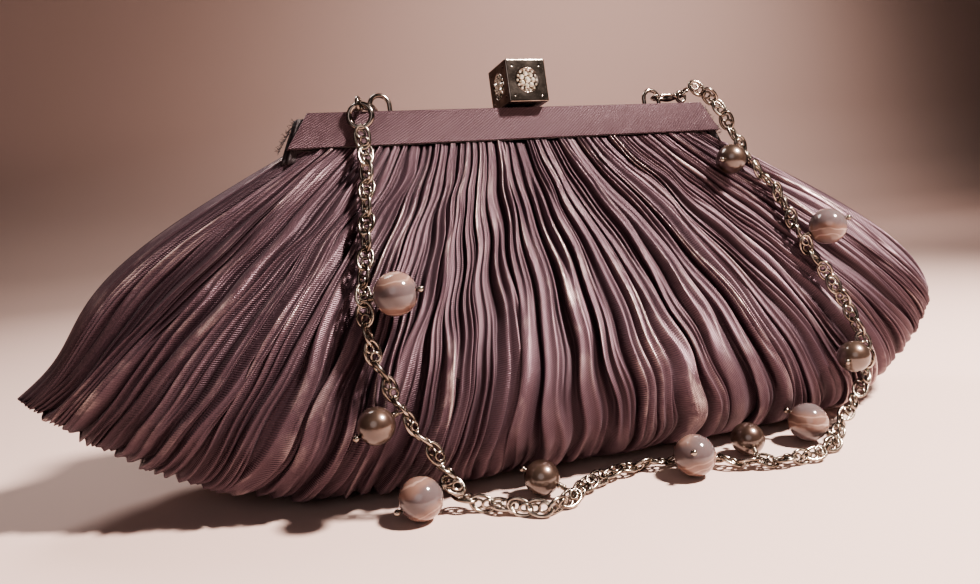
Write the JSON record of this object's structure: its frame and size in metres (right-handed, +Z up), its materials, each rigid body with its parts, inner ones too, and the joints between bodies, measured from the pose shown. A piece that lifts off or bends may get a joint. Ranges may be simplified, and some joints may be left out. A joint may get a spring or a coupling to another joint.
{
  "type": "evening bag",
  "caption": "Fan-shaped evening bag in pleated satin on a hinged metal frame, with a crystal cube clasp and a detachable chain hung with agate and pearl beads.",
  "frame": {"origin": "centre of the bag's own bounding box on the table it stands on, chain and beads left out", "axes": "+X along the frame towards its right end, +Y towards the back, +Z up"},
  "size_m": [0.312, 0.1001, 0.1252],
  "materials": {
    "pleated_satin": "crinkle-pleated polyester satin, dusty mauve, lustrous on the ridges",
    "band_satin": "flat twill-faced satin, dusty mauve",
    "lining_satin": "plain satin lining",
    "board": "grey-brown pressed board",
    "frame_steel": "nickel-plated pressed steel",
    "dark_nickel": "polished dark nickel plate",
    "chain_metal": "polished nickel plate, darkened in the recesses",
    "crystal": "foiled cut crystal",
    "agate": "polished banded pink-grey agate",
    "pearl": "bronze nacre coating"
  },
  "bodies": {
    "bag": {"front_frame": "frame_steel", "front_band_cover": "band_satin", "hinge_rivet_left": "frame_steel", "side_gusset_left": "band_satin", "hinge_rivet_right": "frame_steel", "side_gusset_right": "band_satin", "clasp_pin": "frame_steel", "clasp_spring": "frame_steel", "frame_loop_left": "dark_nickel", "claw_body_left": "chain_metal", "jump_ring_left": "chain_metal", "frame_loop_right": "dark_nickel", "claw_body_right": "chain_metal", "jump_ring_right": "chain_metal", "pleated_body": "pleated_satin", "body_lining": "lining_satin", "base_stiffener": "board", "chain": "chain_metal", "agate_bead_1_pin": "chain_metal", "agate_bead_2_pin": "chain_metal", "agate_bead_3_pin": "chain_metal", "agate_bead_4_pin": "chain_metal", "agate_bead_5_pin": "chain_metal", "pearl_bead_1_pin": "chain_metal", "pearl_bead_2_pin": "chain_metal", "pearl_bead_3_pin": "chain_metal", "pearl_bead_4_pin": "chain_metal", "pearl_bead_5_pin": "chain_metal"},
    "rear_half": {"rear_frame": "frame_steel", "rear_band_cover": "band_satin", "rear_flap": "pleated_satin", "flap_lining": "lining_satin", "clasp_catch": "frame_steel"},
    "clasp": {"clasp_lever": "frame_steel", "cube_knob": "dark_nickel", "crystal_rosette_front": "crystal", "crystal_rosette_rear": "crystal", "crystal_rosette_left": "crystal", "crystal_rosette_right": "crystal", "crystal_rosette_top": "crystal"},
    "claw_trigger_left": {"claw_trigger_left": "chain_metal"},
    "claw_trigger_right": {"claw_trigger_right": "chain_metal"},
    "agate_bead_1": {"agate_bead_1": "agate"},
    "agate_bead_2": {"agate_bead_2": "agate"},
    "agate_bead_3": {"agate_bead_3": "agate"},
    "agate_bead_4": {"agate_bead_4": "agate"},
    "agate_bead_5": {"agate_bead_5": "agate"},
    "pearl_bead_1": {"pearl_bead_1": "pearl"},
    "pearl_bead_2": {"pearl_bead_2": "pearl"},
    "pearl_bead_3": {"pearl_bead_3": "pearl"},
    "pearl_bead_4": {"pearl_bead_4": "pearl"},
    "pearl_bead_5": {"pearl_bead_5": "pearl"}
  },
  "joints": [
    {"name": "rear_half_hinge", "type": "hinge", "parent": "bag", "child": "rear_half", "pos_m": [-0.003, 0.00412, 0.0718], "axis": [1, 0, 0], "range_deg": [-55, 0]},
    {"name": "clasp_tilt", "type": "hinge", "parent": "bag", "child": "clasp", "pos_m": [-0.003, 0.00822, 0.10601], "axis": [1, 0, 0], "range_deg": [0, 8], "stiffness_Nm_per_rad": 0.05, "springref_deg": -17.19},
    {"name": "claw_trigger_left_pivot", "type": "hinge", "parent": "bag", "child": "claw_trigger_left", "pos_m": [-0.0571, 0.00795, 0.11103], "axis": [0, 0.1736, 0.9848], "range_deg": [-20, 0], "stiffness_Nm_per_rad": 0.002, "springref_deg": 20.05},
    {"name": "claw_trigger_right_pivot", "type": "hinge", "parent": "bag", "child": "claw_trigger_right", "pos_m": [0.0552, 0.00638, 0.11314], "axis": [0, 0.1736, 0.9848], "range_deg": [-20, 0], "stiffness_Nm_per_rad": 0.002, "springref_deg": 20.05},
    {"name": "agate_bead_1_spin", "type": "hinge", "parent": "bag", "child": "agate_bead_1", "pos_m": [-0.0592, -0.02449, 0.0601], "axis": [0.7961, -0.586, 0.1512], "continuous": true},
    {"name": "agate_bead_2_spin", "type": "hinge", "parent": "bag", "child": "agate_bead_2", "pos_m": [-0.0595, -0.03299, 0.0062], "axis": [-0.9408, 0.0231, -0.3383], "continuous": true},
    {"name": "agate_bead_3_spin", "type": "hinge", "parent": "bag", "child": "agate_bead_3", "pos_m": [0.0181, -0.04779, 0.0064], "axis": [-0.5699, -0.691, 0.4447], "continuous": true},
    {"name": "agate_bead_4_spin", "type": "hinge", "parent": "bag", "child": "agate_bead_4", "pos_m": [0.0642, -0.04519, 0.0066], "axis": [-0.528, 0.7245, 0.4431], "continuous": true},
    {"name": "agate_bead_5_spin", "type": "hinge", "parent": "bag", "child": "agate_bead_5", "pos_m": [0.0916, -0.02769, 0.0651], "axis": [0.8038, -0.4724, 0.3616], "continuous": true},
    {"name": "pearl_bead_1_spin", "type": "hinge", "parent": "bag", "child": "pearl_bead_1", "pos_m": [-0.0694, -0.03179, 0.0278], "axis": [-0.9295, -0.1941, -0.3135], "continuous": true},
    {"name": "pearl_bead_2_spin", "type": "hinge", "parent": "bag", "child": "pearl_bead_2", "pos_m": [-0.0253, -0.03639, 0.0055], "axis": [-0.5839, 0.758, 0.2908], "continuous": true},
    {"name": "pearl_bead_3_spin", "type": "hinge", "parent": "bag", "child": "pearl_bead_3", "pos_m": [0.041, -0.04399, 0.0055], "axis": [0.3759, 0.8784, 0.295], "continuous": true},
    {"name": "pearl_bead_4_spin", "type": "hinge", "parent": "bag", "child": "pearl_bead_4", "pos_m": [0.0666, -0.00979, 0.0896], "axis": [-0.9389, -0.3442, 0.0047], "continuous": true},
    {"name": "pearl_bead_5_spin", "type": "hinge", "parent": "bag", "child": "pearl_bead_5", "pos_m": [0.0842, -0.04479, 0.0245], "axis": [-0.9186, -0.3866, -0.0823], "continuous": true}
  ]
}
